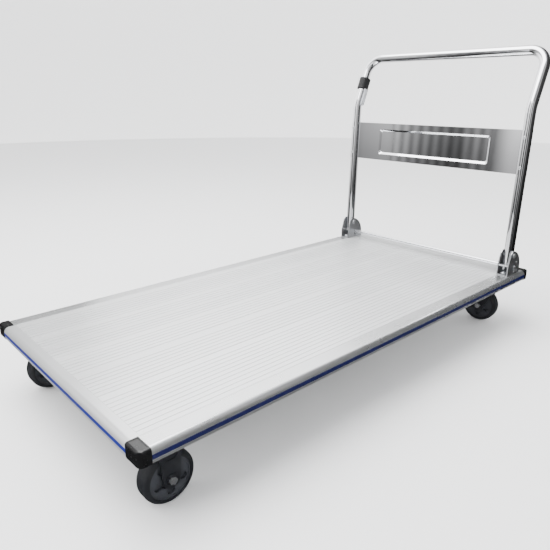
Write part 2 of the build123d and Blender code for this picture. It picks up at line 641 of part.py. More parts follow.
def wheel_core():
    """Moulded wheel centre with a star-shaped hollow in each face, about its own centre."""
    rim = WHEEL_RADIUS - TYRE_WALL
    body = Rot(90, 0, 0) * Cylinder(rim, WHEEL_WEB_WIDTH + 2 * WEB_BEAD)
    for side in (-1, 1):
        face_y = side * (WHEEL_WEB_WIDTH / 2 + WEB_BEAD)
        ring = rod_y(0, 0, face_y, face_y - side * WEB_BEAD, rim - POCKET_MARGIN)
        body = body - ring
    body = body + rod_y(0, 0, -WHEEL_HUB_LENGTH / 2, WHEEL_HUB_LENGTH / 2, WHEEL_HUB_RADIUS)
    pocket = Circle(POCKET_RADIUS)
    reach = rim - 2 * POCKET_MARGIN
    for index in range(WHEEL_ARMS):
        turn = Rot(0, 0, (index * 360 / WHEEL_ARMS) - 90)
        arm = flat_rectangle(0, reach - ARM_WIDTH / 2, -ARM_WIDTH / 2, ARM_WIDTH / 2)
        tip = Pos(reach - ARM_WIDTH / 2, 0) * Circle(ARM_WIDTH / 2)
        pocket = pocket + turn * arm + turn * tip
    pocket = pocket - Circle(WHEEL_HUB_RADIUS + RUNNING_FIT)
    for side in (-1, 1):
        face_y = side * WHEEL_WEB_WIDTH / 2
        cutter = extrude(Plane.XZ.offset(-face_y) * pocket, side * POCKET_DEPTH)
        body = body - cutter
    return body - rod_y(0, 0, -WHEEL_HUB_LENGTH, WHEEL_HUB_LENGTH, AXLE_RADIUS + RUNNING_FIT)


def tyre():
    """Rubber tyre with rounded shoulders, about the wheel's centre."""
    band = Rot(90, 0, 0) * Cylinder(WHEEL_RADIUS, TYRE_WIDTH)
    outer = [e for e in band.edges() if e.geom_type == GeomType.CIRCLE]
    band = fillet(outer, min(TYRE_SHOULDER, TYRE_WALL - TYRE_SIDE_LAND))
    return band - rod_y(0, 0, -TYRE_WIDTH, TYRE_WIDTH, WHEEL_RADIUS - TYRE_WALL)


def caster_bolts():
    """Hexagon bolts of all four caster plates."""
    bolts = []
    for x in (-CASTER_X, CASTER_X):
        for side in SIDES.values():
            for bx, by in caster_bolt_places(x, side * CASTER_Y):
                head = hexagon_z(bx, by, PLATE_BOTTOM - CASTER_BOLT_HEAD, PLATE_BOTTOM, CASTER_BOLT_FLATS)
                shank = rod_z(bx, by, PLATE_BOTTOM - CASTER_BOLT_HEAD / 2, DECK_BOTTOM - HOLE_CLEARANCE,
                              CASTER_BOLT_RADIUS)
                bolts.append(head + shank)
    return group(bolts)


# ---------------------------------------------------------------- hinge brackets

def bracket_bolt_places():
    """Places along X of a bracket's two bolts."""
    return (PIVOT_X - BRACKET_FRONT + BRACKET_BOLT_FRONT_EDGE,
            PIVOT_X + BRACKET_REAR - BRACKET_BOLT_REAR_EDGE)


def bracket_outline():
    """Side plate seen from the side: straight front, rounded back."""
    front = PIVOT_X - BRACKET_FRONT
    rear = PIVOT_X + BRACKET_REAR
    top = DECK_TOP + BRACKET_HEIGHT
    shoulder = front + BRACKET_SLANT + BRACKET_TOP_RADIUS
    over_x = front + BRACKET_SLANT + BRACKET_BACK_ALONG * (rear - front - BRACKET_SLANT)
    over_z = DECK_TOP + BRACKET_REAR_HEIGHT + BRACKET_BACK_UP * (BRACKET_HEIGHT - BRACKET_REAR_HEIGHT)
    slant_top = (front + BRACKET_SLANT, top - BRACKET_TOP_RADIUS)
    return make_face(Wire([
        Line((front, DECK_TOP), (front, DECK_TOP + BRACKET_FRONT_HEIGHT)),
        Line((front, DECK_TOP + BRACKET_FRONT_HEIGHT), slant_top),
        Line(slant_top, (shoulder, top)),
        ThreePointArc((shoulder, top), (over_x, over_z), (rear, DECK_TOP + BRACKET_REAR_HEIGHT)),
        Line((rear, DECK_TOP + BRACKET_REAR_HEIGHT), (rear, DECK_TOP)),
        Line((rear, DECK_TOP), (front, DECK_TOP)),
    ]))


def bracket(side):
    """Hinge bracket: base bolted to the rail, two side plates with pin holes and rod slots."""
    centre = side * HANDLE_HALF_SPAN
    outline = bracket_outline()
    body = block(PIVOT_X - BRACKET_FRONT, PIVOT_X + BRACKET_REAR, centre - BRACKET_OUTER,
                 centre + BRACKET_OUTER, DECK_TOP, DECK_TOP + BRACKET_STEEL)
    for hand in (-1, 1):
        high_y = centre + max(hand * BRACKET_INNER, hand * BRACKET_OUTER)
        body = body + extrude(Plane.XZ.offset(-high_y) * outline, BRACKET_STEEL)
    y0 = centre - BRACKET_OUTER - OVERCUT
    y1 = centre + BRACKET_OUTER + OVERCUT
    body = body - rod_y(PIVOT_X, PIVOT_Z, y0, y1, PIN_RADIUS + HOLE_CLEARANCE)
    slot_radius = ROD_RADIUS + ROD_SLOT_CLEARANCE
    for z in (ROD_Z, ROD_Z - ROD_TRAVEL):
        body = body - rod_y(ROD_X, z, y0, y1, slot_radius)
    body = body - block(ROD_X - slot_radius, ROD_X + slot_radius, y0, y1, ROD_Z - ROD_TRAVEL, ROD_Z)
    for back, up in RIVET_PLACES:
        body = body - rod_y(PIVOT_X + back, DECK_TOP + up, centre, centre + side * (BRACKET_OUTER + OVERCUT),
                            RIVET_RADIUS + HOLE_CLEARANCE)
    for x in bracket_bolt_places():
        body = body - rod_z(x, centre, DECK_TOP - OVERCUT, DECK_TOP + BRACKET_STEEL + OVERCUT,
                            BRACKET_BOLT_RADIUS + HOLE_CLEARANCE)
    return body


def stop_plates():
    """Plates between the side plates that the front of the upright tube leans on."""
    lean = math.radians(HANDLE_LEAN)
    corner_x = PIVOT_X - TUBE_RADIUS * math.cos(lean) - TUBE_BELOW_PIVOT * math.sin(lean)
    corner_z = PIVOT_Z + TUBE_RADIUS * math.sin(lean) - TUBE_BELOW_PIVOT * math.cos(lean)
    rear = corner_x - MOVING_GAP
    front = PIVOT_X - BRACKET_FRONT + STOP_PLATE_SETBACK
    low = corner_z - STOP_PLATE_BELOW_END
    return group([block(front, rear, side * HANDLE_HALF_SPAN - BRACKET_INNER,
                        side * HANDLE_HALF_SPAN + BRACKET_INNER, low, low + STOP_PLATE)
                  for side in SIDES.values()])


def headed_pin(x, z, centre, radius, head_radius, head):
    """Pin along Y through a bracket, with a head on both outer faces."""
    y0 = centre - BRACKET_OUTER
    y1 = centre + BRACKET_OUTER
    pin = rod_y(x, z, y0 - head, y1 + head, radius)
    near = rod_y(x, z, y0 - head, y0, head_radius)
    near = fillet(near.edges().sort_by(Axis.Y)[0], head * HEAD_ROUNDING)
    far = rod_y(x, z, y1, y1 + head, head_radius)
    far = fillet(far.edges().sort_by(Axis.Y)[-1], head * HEAD_ROUNDING)
    return pin + near + far


def pivot_pins():
    """Pins that the handle folds on."""
    return group([headed_pin(PIVOT_X, PIVOT_Z, side * HANDLE_HALF_SPAN, PIN_RADIUS, PIN_HEAD_RADIUS,
                             PIN_HEAD) for side in SIDES.values()])


def bracket_rivets():
    """Rivets in the outer side plates, flush inside."""
    rivets = []
    for side in SIDES.values():
        inner = side * (HANDLE_HALF_SPAN + BRACKET_INNER)
        seat = side * (HANDLE_HALF_SPAN + BRACKET_OUTER)
        end = seat + side * RIVET_HEAD
        for back, up in RIVET_PLACES:
            head = rod_y(PIVOT_X + back, DECK_TOP + up, seat, end, RIVET_HEAD_RADIUS)
            rim = head.edges().filter_by(GeomType.CIRCLE).sort_by(Axis.Y)[-1 if side > 0 else 0]
            head = fillet(rim, RIVET_HEAD * HEAD_ROUNDING)
            rivets.append(head + rod_y(PIVOT_X + back, DECK_TOP + up, inner, seat + side * RIVET_HEAD / 2,
                                       RIVET_RADIUS))
    return group(rivets)


def bracket_bolts():
    """Bolts and nuts that hold the brackets on the rails."""
    pieces = []
    for side in SIDES.values():
        y = side * HANDLE_HALF_SPAN
        for x in bracket_bolt_places():
            seat = DECK_TOP + BRACKET_STEEL
            head = hexagon_z(x, y, seat, seat + BRACKET_BOLT_HEAD, BRACKET_BOLT_FLATS)
            crown = rod_z(x, y, seat, seat + BRACKET_BOLT_HEAD, BRACKET_BOLT_FLATS / 2 + BRACKET_BOLT_CROWN)
            crown = chamfer(crown.edges().sort_by(Axis.Z)[-1], BRACKET_BOLT_CHAMFER)
            low = DECK_TOP - RAIL_WALL - BRACKET_NUT
            shank = rod_z(x, y, low - BRACKET_BOLT_END, seat + BRACKET_BOLT_HEAD / 2, BRACKET_BOLT_RADIUS)
            nut = hexagon_z(x, y, low, DECK_TOP - RAIL_WALL, BRACKET_BOLT_FLATS)
            nut = nut - rod_z(x, y, low - OVERCUT, DECK_TOP, BRACKET_BOLT_RADIUS)
            pieces.append((head & crown) + shank)
            pieces.append(nut)
    return group(pieces)


# ---------------------------------------------------------------- foot lock rod

def lock_rod():
    """Round bar across the deck, through both brackets."""
    reach = HANDLE_HALF_SPAN + BRACKET_OUTER + ROD_END
    bar = rod_y(ROD_X, ROD_Z, -reach, reach, ROD_RADIUS)
    return chamfer([bar.edges().sort_by(Axis.Y)[0], bar.edges().sort_by(Axis.Y)[-1]], ROD_END_CHAMFER)


def rod_clips():
    """Retaining rings on the rod, outside the outer side plates."""
    clips = []
    for side in SIDES.values():
        near = side * (HANDLE_HALF_SPAN + BRACKET_OUTER + MOVING_GAP)
        ring = rod_y(ROD_X, ROD_Z, near, near + side * ROD_CLIP, ROD_CLIP_RADIUS)
        clips.append(ring - rod_y(ROD_X, ROD_Z, near - side, near + side * 2 * ROD_CLIP, ROD_RADIUS))
    return group(clips)


def lock_springs():
    """Compression springs under the rod, one in each bracket."""
    low = DECK_TOP + BRACKET_STEEL + SPRING_WIRE
    high = ROD_Z - ROD_RADIUS - SPRING_END_GAP - SPRING_WIRE
    springs = []
    for side in SIDES.values():
        path = Helix((high - low) / SPRING_TURNS, high - low, SPRING_RADIUS - SPRING_WIRE / 2)
        start = path @ 0
        section = Plane(origin=start, z_dir=path % 0) * Circle(SPRING_WIRE / 2)
        coil = sweep(section, path=path)
        springs.append(Pos(ROD_X, side * HANDLE_HALF_SPAN, low) * coil)
    return group(springs)


# ---------------------------------------------------------------- handle

def handle_place():
    """Handle frame: origin at the pivot, Z along the uprights, leaning back."""
    return Pos(PIVOT_X, 0, PIVOT_Z) * Rot(0, HANDLE_LEAN, 0)


def upright_length():
    """From the pivot to the bend, along the upright."""
    return (BEND_ABOVE_DECK - PIVOT_ABOVE_DECK) / math.cos(math.radians(HANDLE_LEAN))


def upper_length():
    """From the bend to the top bar, along the bent part."""
    return (TOP_ABOVE_DECK - BEND_ABOVE_DECK) / math.cos(math.radians(HANDLE_LEAN + HANDLE_BEND))


def handle_path():
    """Centre line of the handle tube, in the handle frame."""
    bend = upright_length()
    top_x = upper_length() * math.sin(math.radians(HANDLE_BEND))
    top_z = bend + upper_length() * math.cos(math.radians(HANDLE_BEND))
    points = [(0, -HANDLE_HALF_SPAN, -TUBE_BELOW_PIVOT), (0, -HANDLE_HALF_SPAN, bend),
              (top_x, -HANDLE_HALF_SPAN, top_z), (top_x, HANDLE_HALF_SPAN, top_z),
              (0, HANDLE_HALF_SPAN, bend), (0, HANDLE_HALF_SPAN, -TUBE_BELOW_PIVOT)]
    return FilletPolyline(*points, radius=[BEND_RADIUS, CORNER_RADIUS, CORNER_RADIUS, BEND_RADIUS])


def handle_tube():
    """One bent tube, with cross holes for the pivot pins."""
    path = handle_path()
    start = Plane(origin=path @ 0, z_dir=path % 0)
    ring = start * (Circle(TUBE_RADIUS) - Circle(TUBE_RADIUS - TUBE_WALL))
    tube = sweep(ring, path=path)
    hole = rod_y(0, 0, -HANDLE_HALF_SPAN - TUBE_DIAMETER, HANDLE_HALF_SPAN + TUBE_DIAMETER,
                 PIN_RADIUS + RUNNING_FIT)
    return handle_place() * (tube - hole)


def foot_plug(side):
    """Plug in the tube's lower end, flush with it."""
    end = -TUBE_BELOW_PIVOT
    plug = rod_z(0, side * HANDLE_HALF_SPAN, end, end + PLUG_LENGTH, TUBE_RADIUS - TUBE_WALL - PLUG_CLEARANCE)
    return handle_place() * plug


def panel_place():
    """Panel frame: on the uprights' plane, at the panel's middle height."""
    middle = (PANEL_BOTTOM + PANEL_HEIGHT / 2 - PIVOT_ABOVE_DECK) / math.cos(math.radians(HANDLE_LEAN))
    return handle_place() * Pos(0, 0, middle)


def saddle_section(side):
    """Half ring that the sheet makes over the front of one upright."""
    inner = TUBE_RADIUS + PANEL_FIT
    ring = Circle(inner + PANEL_SHEET) - Circle(inner)
    front = flat_rectangle(-2 * TUBE_DIAMETER, 0, -2 * TUBE_DIAMETER, 2 * TUBE_DIAMETER)
    return Pos(0, side * HANDLE_HALF_SPAN) * (ring & front)


def back_panel():
    """Pressed sheet between the uprights: saddles, hems and a sunk field."""
    reach = HANDLE_HALF_SPAN - TUBE_RADIUS - PANEL_FIT
    height = PANEL_HEIGHT
    section = flat_rectangle(-PANEL_SHEET, 0, -reach, reach) + saddle_section(1) + saddle_section(-1)
    sheet = extrude(Pos(0, 0, -height / 2) * section, height)
    hem_reach = reach - PANEL_HEM_END
    for hand in (-1, 1):
        edge = hand * height / 2
        hem = block(0, PANEL_HEM, -hem_reach, hem_reach, edge - hand * PANEL_SHEET, edge)
        sheet = sheet + hem
    pressed, hollow = pressed_field()
    return panel_place() * (sheet + pressed - hollow)


def pressed_field():
    """Sunk field of the panel, with bevelled walls and a flat floor: its outside and its hollow."""
    def tray(grow, x0, x1):
        mouth = RectangleRounded(PANEL_PRESS_LENGTH + 2 * grow, PANEL_PRESS_HEIGHT + 2 * grow,
                                 PANEL_PRESS_CORNER + grow)
        floor = RectangleRounded(PANEL_PRESS_LENGTH - 2 * PANEL_PRESS_BEVEL + 2 * grow,
                                 PANEL_PRESS_HEIGHT - 2 * PANEL_PRESS_BEVEL + 2 * grow,
                                 PANEL_PRESS_CORNER + grow)
        return loft([Plane.YZ.offset(x0) * mouth, Plane.YZ.offset(x1) * floor])
    outer = tray(0.0, -PANEL_SHEET, PANEL_PRESS_DEPTH)
    inner = tray(-PANEL_SHEET, -PANEL_SHEET, PANEL_PRESS_DEPTH)
    floor_stop = block(PANEL_PRESS_DEPTH - PANEL_SHEET, PANEL_PRESS_DEPTH + OVERCUT,
                       -PANEL_PRESS_LENGTH, PANEL_PRESS_LENGTH, -PANEL_PRESS_HEIGHT, PANEL_PRESS_HEIGHT)
    return outer, inner - floor_stop


def panel_rivets():
    """Rivets through the saddles into the fronts of the uprights."""
    rivets = []
    seat = TUBE_RADIUS + PANEL_FIT + PANEL_SHEET
    offset = PANEL_HEIGHT / 2 - PANEL_RIVET_INSET
    for side in SIDES.values():
        for z in (-offset, offset):
            axis = Pos(-seat, side * HANDLE_HALF_SPAN, z) * Rot(0, 90, 0)
            head = axis * Pos(0, 0, -PANEL_RIVET_HEAD / 2 + PANEL_FIT)
            head = head * Cylinder(PANEL_RIVET_HEAD_RADIUS, PANEL_RIVET_HEAD)
            head = fillet(head.edges().sort_by(Axis.X)[0], PANEL_RIVET_HEAD / 2)
            rivets.append(panel_place() * head)
    return rivets


def finished_panel():
    """Back panel with seats cut for its rivets."""
    panel = back_panel()
    for rivet in panel_rivets():
        panel = panel - rivet
    return panel


def collar_place():
    """Collar frame: on the bent part of the left upright, Z along the tube."""
    above_bend = upper_length() - CORNER_RADIUS - COLLAR_BELOW_CORNER - COLLAR_LENGTH / 2
    return (handle_place() * Pos(0, HANDLE_HALF_SPAN, upright_length()) * Rot(0, HANDLE_BEND, 0)
            * Pos(0, 0, above_bend))


def collar_half(hand):
    """One half of the clamped plastic collar, split on the handle's plane."""
    ring = Cylinder(COLLAR_RADIUS, COLLAR_LENGTH)
    ring = fillet([e for e in ring.edges() if e.geom_type == GeomType.CIRCLE], COLLAR_EDGE)
    ring = ring - Cylinder(TUBE_RADIUS + HOLE_CLEARANCE, COLLAR_LENGTH + 2 * OVERCUT)
    reach = 2 * COLLAR_RADIUS
    keep = block(hand * COLLAR_SPLIT / 2, hand * reach, -reach, reach, -reach, reach)
    half = ring & keep
    for place in collar_screws_local():
        half = half - place
    return collar_place() * half


def collar_screws_local():
    """Two clamp screws, along X, either side of the tube."""
    screws = []
    offset = (COLLAR_RADIUS + TUBE_RADIUS) / 2
    reach = math.sqrt(COLLAR_RADIUS ** 2 - (offset + COLLAR_SCREW_RADIUS) ** 2)
    for hand in (-1, 1):
        turn = Pos(0, hand * offset, 0) * Rot(0, 90, 0)
        screws.append(turn * Cylinder(COLLAR_SCREW_RADIUS, 2 * (reach - COLLAR_SCREW_SINK)))
    return screws


def collar_screws():
    """The collar's clamp screws."""
    return group([collar_place() * screw for screw in collar_screws_local()])


def hang_tab():
    """Flat tab that hangs from the collar on the inner side of the upright."""
    y1 = -TUBE_RADIUS - HOLE_CLEARANCE - TAB_OFFSET
    y0 = y1 - TAB_THICKNESS
    z1 = -COLLAR_LENGTH / 2 - HOLE_CLEARANCE
    tab = block(-TAB_WIDTH / 2, TAB_WIDTH / 2, y0, y1, z1 - TAB_LENGTH, z1)
    ends = tab.edges().filter_by(Axis.Y).sort_by(Axis.Z)[:2]
    tab = fillet(ends, TAB_WIDTH / 2 - TAB_END_LAND)
    root = block(-TAB_WIDTH / 2, TAB_WIDTH / 2, y0, -TUBE_RADIUS - HOLE_CLEARANCE, z1 - TAB_ROOT, z1)
    hole = rod_y(0, z1 - TAB_LENGTH + TAB_WIDTH / 2, y0 - OVERCUT, y1 + OVERCUT, TAB_HOLE_RADIUS)
    return tab + root - hole


def placed_tab():
    """Hang tab, clear of the tube where it bends."""
    tab = collar_place() * hang_tab()
    path = handle_path()
    start = Plane(origin=path @ 0, z_dir=path % 0)
    core = sweep(start * Circle(TUBE_RADIUS + HOLE_CLEARANCE), path=path)
    return tab - handle_place() * core


# ---------------------------------------------------------------- build

def build_deck():
    """Planks, rails, strips, caps and cross members."""
    for index, shape in enumerate(planks()):
        save(shape, f"deck_plank_{index + 1}")
    cap = corner_cap()
    for side_name, side in SIDES.items():
        save(side_rail(side), f"side_rail_{side_name}")
        save(side_strip(side), f"edge_strip_{side_name}")
    for end_name, end in ENDS.items():
        save(end_rail(end), f"end_rail_{end_name}")
        save(end_strip(end), f"edge_strip_{end_name}")
        for side_name, side in SIDES.items():
            shape = cap if end > 0 else mirror(cap, Plane.YZ)
            shape = shape if side > 0 else mirror(shape, Plane.XZ)
            save(shape, f"corner_cap_{end_name}_{side_name}")
    for name in member_spans():
        save(cross_member(name), f"cross_member_{name}")
    save(member_screws(), "member_screws")


def build_casters():
    """Two rigid and two swivel casters."""
    core = wheel_core()
    band = tyre()
    bolt = axle()
    for side_name, side in SIDES.items():
        rigid = Pos(-CASTER_X, side * CASTER_Y, WHEEL_RADIUS)
        facing = Rot(0, 0, 0) if side < 0 else Rot(0, 0, 180)
        swivel = swivel_place(side_name) * Pos(SWIVEL_TRAIL, 0, WHEEL_RADIUS)
        save(rigid_fork(side), f"rigid_fork_{side_name}")
        save(swivel_plate(side), f"swivel_plate_{side_name}")
        save(swivel_fork(side_name), f"swivel_fork_{side_name}")
        for kind, place in (("rigid", rigid * facing), ("swivel", swivel)):
            save(place * core, f"{kind}_wheel_{side_name}")
            save(place * band, f"{kind}_tyre_{side_name}")
            save(place * bolt, f"{kind}_axle_{side_name}")
    save(kingpins(), "kingpins")
    save(caster_bolts(), "caster_bolts")


def build_hinges():
    """Brackets, pins, stop plates, and the foot lock."""
    for side_name, side in SIDES.items():
        save(bracket(side), f"hinge_bracket_{side_name}")
    save(pivot_pins(), "pivot_pins")
    save(stop_plates(), "stop_plates")
    save(bracket_rivets(), "bracket_rivets")
    save(bracket_bolts(), "bracket_bolts")
    save(lock_rod(), "lock_rod")
    save(rod_clips(), "rod_clips")
    save(lock_springs(), "lock_springs")


def build_handle():
    """Tube, plugs, panel and collar."""
    save(handle_tube(), "handle_tube")
    for side_name, side in SIDES.items():
        save(foot_plug(side), f"foot_plug_{side_name}")
    save(finished_panel(), "back_panel")
    save(group(panel_rivets()), "panel_rivets")
    save(collar_half(-1), "collar_front")
    save(collar_half(1), "collar_back")
    save(collar_screws(), "collar_screws")
    save(placed_tab(), "hang_tab")


os.makedirs("parts", exist_ok=True)
build_deck()
build_casters()
build_hinges()
build_handle()
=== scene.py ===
import math

import bpy
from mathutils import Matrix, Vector


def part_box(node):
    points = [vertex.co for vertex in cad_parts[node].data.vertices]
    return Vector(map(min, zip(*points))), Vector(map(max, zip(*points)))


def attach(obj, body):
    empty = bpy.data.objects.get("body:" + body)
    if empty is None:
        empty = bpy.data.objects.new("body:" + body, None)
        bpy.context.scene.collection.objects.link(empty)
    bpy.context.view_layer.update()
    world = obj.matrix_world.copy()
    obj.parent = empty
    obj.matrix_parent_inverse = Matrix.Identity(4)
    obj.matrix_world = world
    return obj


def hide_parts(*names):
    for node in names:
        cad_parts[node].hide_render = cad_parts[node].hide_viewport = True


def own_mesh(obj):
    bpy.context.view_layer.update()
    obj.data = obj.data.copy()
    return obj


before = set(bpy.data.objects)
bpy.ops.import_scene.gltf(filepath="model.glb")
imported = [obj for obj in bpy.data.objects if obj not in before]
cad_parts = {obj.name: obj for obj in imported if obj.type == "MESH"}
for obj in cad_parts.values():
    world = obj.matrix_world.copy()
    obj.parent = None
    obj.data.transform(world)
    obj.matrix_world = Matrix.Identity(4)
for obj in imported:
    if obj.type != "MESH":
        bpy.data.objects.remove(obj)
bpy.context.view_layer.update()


# ---- floor -----------------------------------------------------------------
# A plain pale sheet that the cart stands on. It is matt, so that it takes the
# soft shadow of the deck and gives little back.

FLOOR_REACH = 40.0
FLOOR_CORNERS = ((-1, -1), (1, -1), (1, 1), (-1, 1))
STUDIO_PALE = (0.92, 0.92, 0.92, 1.0)
MATT = 0.9


class Value:
    """The output of a shader node, so that a material's sums read as sums."""

    def __init__(self, shade, socket):
        self.shade = shade
        self.socket = socket

    def sum(self, operation, first, second):
        return self.shade.node("Math", {"operation": operation}, {0: first, 1: second})

    def __add__(self, other):
        return self.sum("ADD", self, other)

    def __radd__(self, other):
        return self.sum("ADD", other, self)

    def __sub__(self, other):
        return self.sum("SUBTRACT", self, other)

    def __rsub__(self, other):
        return self.sum("SUBTRACT", other, self)

    def __mul__(self, other):
        return self.sum("MULTIPLY", self, other)

    def __rmul__(self, other):
        return self.sum("MULTIPLY", other, self)

    def __gt__(self, other):
        return self.sum("GREATER_THAN", self, other)

    def __lt__(self, other):
        return self.sum("LESS_THAN", self, other)


class Shade:
    """One node material while it is being put together."""

    # the colour sockets of a Mix node, which share their names with its others
    MIX_AMOUNT = 0
    MIX_FIRST = 6
    MIX_SECOND = 7
    MIX_RESULT = 2

    def __init__(self, name):
        self.material = bpy.data.materials.new(name)
        self.material.use_nodes = True
        self.tree = self.material.node_tree
        self.tree.nodes.clear()

    def node(self, kind, settings=None, inputs=None, output=0):
        made = self.tree.nodes.new("ShaderNode" + kind)
        for key, value in (settings or {}).items():
            if key == "stops":
                ramp = made.color_ramp
                while len(ramp.elements) < len(value):
                    ramp.elements.new(0.5)
                for element, (place, level) in zip(ramp.elements, value):
                    element.position = place
                    element.color = (level, level, level, 1.0)
            else:
                setattr(made, key, value)
        for key, value in (inputs or {}).items():
            if isinstance(value, Value):
                self.tree.links.new(value.socket, made.inputs[key])
            else:
                made.inputs[key].default_value = value
        return Value(self, made.outputs[output]) if made.outputs else None

    def place(self, stretch=(1.0, 1.0, 1.0)):
        """Place on the piece, stretched so that marks can run along one axis."""
        spot = self.node("TexCoord", output="Object")
        return self.node("Mapping", None, {"Vector": spot, "Scale": stretch})

    def noise(self, scale, stretch=(1.0, 1.0, 1.0), detail=3.0, roughness=0.5):
        return self.node("TexNoise", None, {"Vector": self.place(stretch), "Scale": scale,
                                           "Detail": detail, "Roughness": roughness})

    def ramp(self, value, *stops):
        return self.node("ValToRGB", {"stops": stops}, {0: value})

    def patches(self, scale, start, full, stretch=(1.0, 1.0, 1.0), detail=6.0, roughness=0.7):
        """Scattered patches: 0 over most of the piece, rising to 1 where the noise is high."""
        return self.ramp(self.noise(scale, stretch, detail, roughness), (0.0, 0.0), (start, 0.0), (full, 1.0))

    def mix(self, amount, first, second):
        return self.node("Mix", {"data_type": "RGBA"},
                         {self.MIX_AMOUNT: amount, self.MIX_FIRST: first, self.MIX_SECOND: second},
                         output=self.MIX_RESULT)

    def bump(self, height, strength, depth):
        return self.node("Bump", None, {"Height": height, "Strength": strength, "Distance": depth})

    def grain(self, scale, strength, depth=0.0002, detail=3.0):
        """The fine unevenness of a moulded, painted or plated surface."""
        return self.bump(self.noise(scale, detail=detail), strength, depth)

    def surface(self, **inputs):
        """Ends the material in one glossy shader."""
        named = {key.replace("_", " "): value for key, value in inputs.items()}
        shader = self.node("BsdfPrincipled", None, named)
        self.node("OutputMaterial", None, {"Surface": shader})
        return self.material

    def glow(self, colour, strength):
        """Ends the material in a plain light of its own."""
        light = self.node("Emission", None, {"Color": colour, "Strength": strength})
        self.node("OutputMaterial", None, {"Surface": light})
        return self.material


def stand(name, data):
    """Puts a mesh, a camera or a light in the scene."""
    made = bpy.data.objects.new(name, data)
    bpy.context.scene.collection.objects.link(made)
    return made


def new_mesh(name, vertices, faces, material, smooth=False):
    """A mesh object from lists of points and faces."""
    mesh = bpy.data.meshes.new(name)
    mesh.from_pydata(vertices, [], faces)
    mesh.materials.append(material)
    for face in mesh.polygons:
        face.use_smooth = smooth
    return stand(name, mesh)


floor_finish = Shade("studio_floor").surface(Base_Color=STUDIO_PALE, Roughness=MATT)
floor = new_mesh("floor", [(FLOOR_REACH * x, FLOOR_REACH * y, 0) for x, y in FLOOR_CORNERS],
                 [(0, 1, 2, 3)], floor_finish)


# ---- backdrop --------------------------------------------------------------
# A pale wall all round the floor that starts level with it and curves up, so
# that the floor has no edge. It gives a little light of its own.

BACKDROP_RADIUS = 7.0
BACKDROP_CURVE = 3.0
BACKDROP_TOP = 9.0
BACKDROP_TURNS = 72
BACKDROP_RINGS = 10
BACKDROP_GLOW = 0.62
WHITE = (1.0, 1.0, 1.0, 1.0)

backdrop_finish = Shade("studio_backdrop").surface(
    Base_Color=STUDIO_PALE, Roughness=MATT, Emission_Color=WHITE, Emission_Strength=BACKDROP_GLOW)
points = []
for ring_index in range(BACKDROP_RINGS + 1):
    rise = math.pi / 2 * ring_index / BACKDROP_RINGS
    reach = BACKDROP_RADIUS + BACKDROP_CURVE * math.sin(rise)
    for turn_index in range(BACKDROP_TURNS):
        angle = 2 * math.pi * turn_index / BACKDROP_TURNS
        points.append((reach * math.cos(angle), reach * math.sin(angle),
                       BACKDROP_CURVE * (1 - math.cos(rise))))
points += [(x, y, BACKDROP_TOP) for x, y, z in points[-BACKDROP_TURNS:]]
quads = []
for ring_index in range(BACKDROP_RINGS + 1):
    lower = ring_index * BACKDROP_TURNS
    upper = lower + BACKDROP_TURNS
    for turn_index in range(BACKDROP_TURNS):
        beside = (turn_index + 1) % BACKDROP_TURNS
        quads.append((lower + turn_index, lower + beside, upper + beside, upper + turn_index))
new_mesh("backdrop", points, quads, backdrop_finish, smooth=True)


# ---- camera ----------------------------------------------------------------
# It stands off the front right corner of the deck, a little below the top of
# the handle, and looks down across the deck to the handle.

CAMERA_PLACE = Vector((-0.8903, -0.8910, 0.6246))
CAMERA_FORWARD = Vector((0.6388, 0.6998, -0.3196))
CAMERA_LENS = 35.3
CAMERA_SENSOR = 36.0


def facing(direction):
    """The turn that points a camera or a light in a direction, with its top upwards."""
    return direction.to_track_quat("-Z", "Y").to_euler()


camera_data = bpy.data.cameras.new("camera")
camera_data.lens = CAMERA_LENS
camera_data.sensor_width = CAMERA_SENSOR
camera = stand("camera", camera_data)
camera.location = CAMERA_PLACE
camera.rotation_euler = facing(CAMERA_FORWARD)
bpy.context.scene.camera = camera


# ---- lights ----------------------------------------------------------------
# A broad soft box overhead, a weaker one off the free end of the deck, and a
# wide sky light, in a pale room that is faintly blue.

ROOM_COLOUR = (0.95, 0.97, 1.0, 1.0)
ROOM_STRENGTH = 0.85
# name, place, point that it faces, width, depth, power in watts
SOFT_BOXES = (
    ("overhead_light", (-0.5, 0.5, 2.8), (0.0, 0.0, 0.1), 3.0, 2.4, 150.0),
    ("front_light", (-2.6, 0.9, 1.5), (0.0, 0.0, 0.2), 1.6, 1.2, 30.0),
)
SKY_STRENGTH = 2.4
SKY_SPREAD = 1.2
SKY_DIRECTION = Vector((0.35, -0.45, -1.0))

room = bpy.data.worlds.new("studio")
bpy.context.scene.world = room
room.use_nodes = True
background = room.node_tree.nodes["Background"]
background.inputs["Color"].default_value = ROOM_COLOUR
background.inputs["Strength"].default_value = ROOM_STRENGTH

for name, place, aim, width, depth, power in SOFT_BOXES:
    box = bpy.data.lights.new(name, "AREA")
    box.shape = "RECTANGLE"
    box.size = width
    box.size_y = depth
    box.energy = power
    lamp = stand(name, box)
    lamp.location = place
    lamp.rotation_euler = facing(Vector(aim) - Vector(place))

sky = bpy.data.lights.new("sky_light", "SUN")
sky.energy = SKY_STRENGTH
sky.angle = SKY_SPREAD
stand("sky_light", sky).rotation_euler = facing(SKY_DIRECTION)


# ---- tent ------------------------------------------------------------------
# A ring of light and dark cloth round the cart, on a dark mat. Only glossy
# surfaces see the two, so that chrome has something to mirror. The stretch
# that the back panel mirrors hangs in ribs.

TENT_RADIUS = 0.92
TENT_HEIGHT = 1.5
TENT_PANELS = 96
TENT_RIBS = 110
RIBS_FROM = 0.825
RIBS_TO = 0.915
RIB_CONTRAST = 0.32
MAT_HEIGHT = 0.002
MAT_PATCH_SCALE = 2.6
HIDDEN_FROM = ("camera", "diffuse", "shadow", "transmission", "volume_scatter")
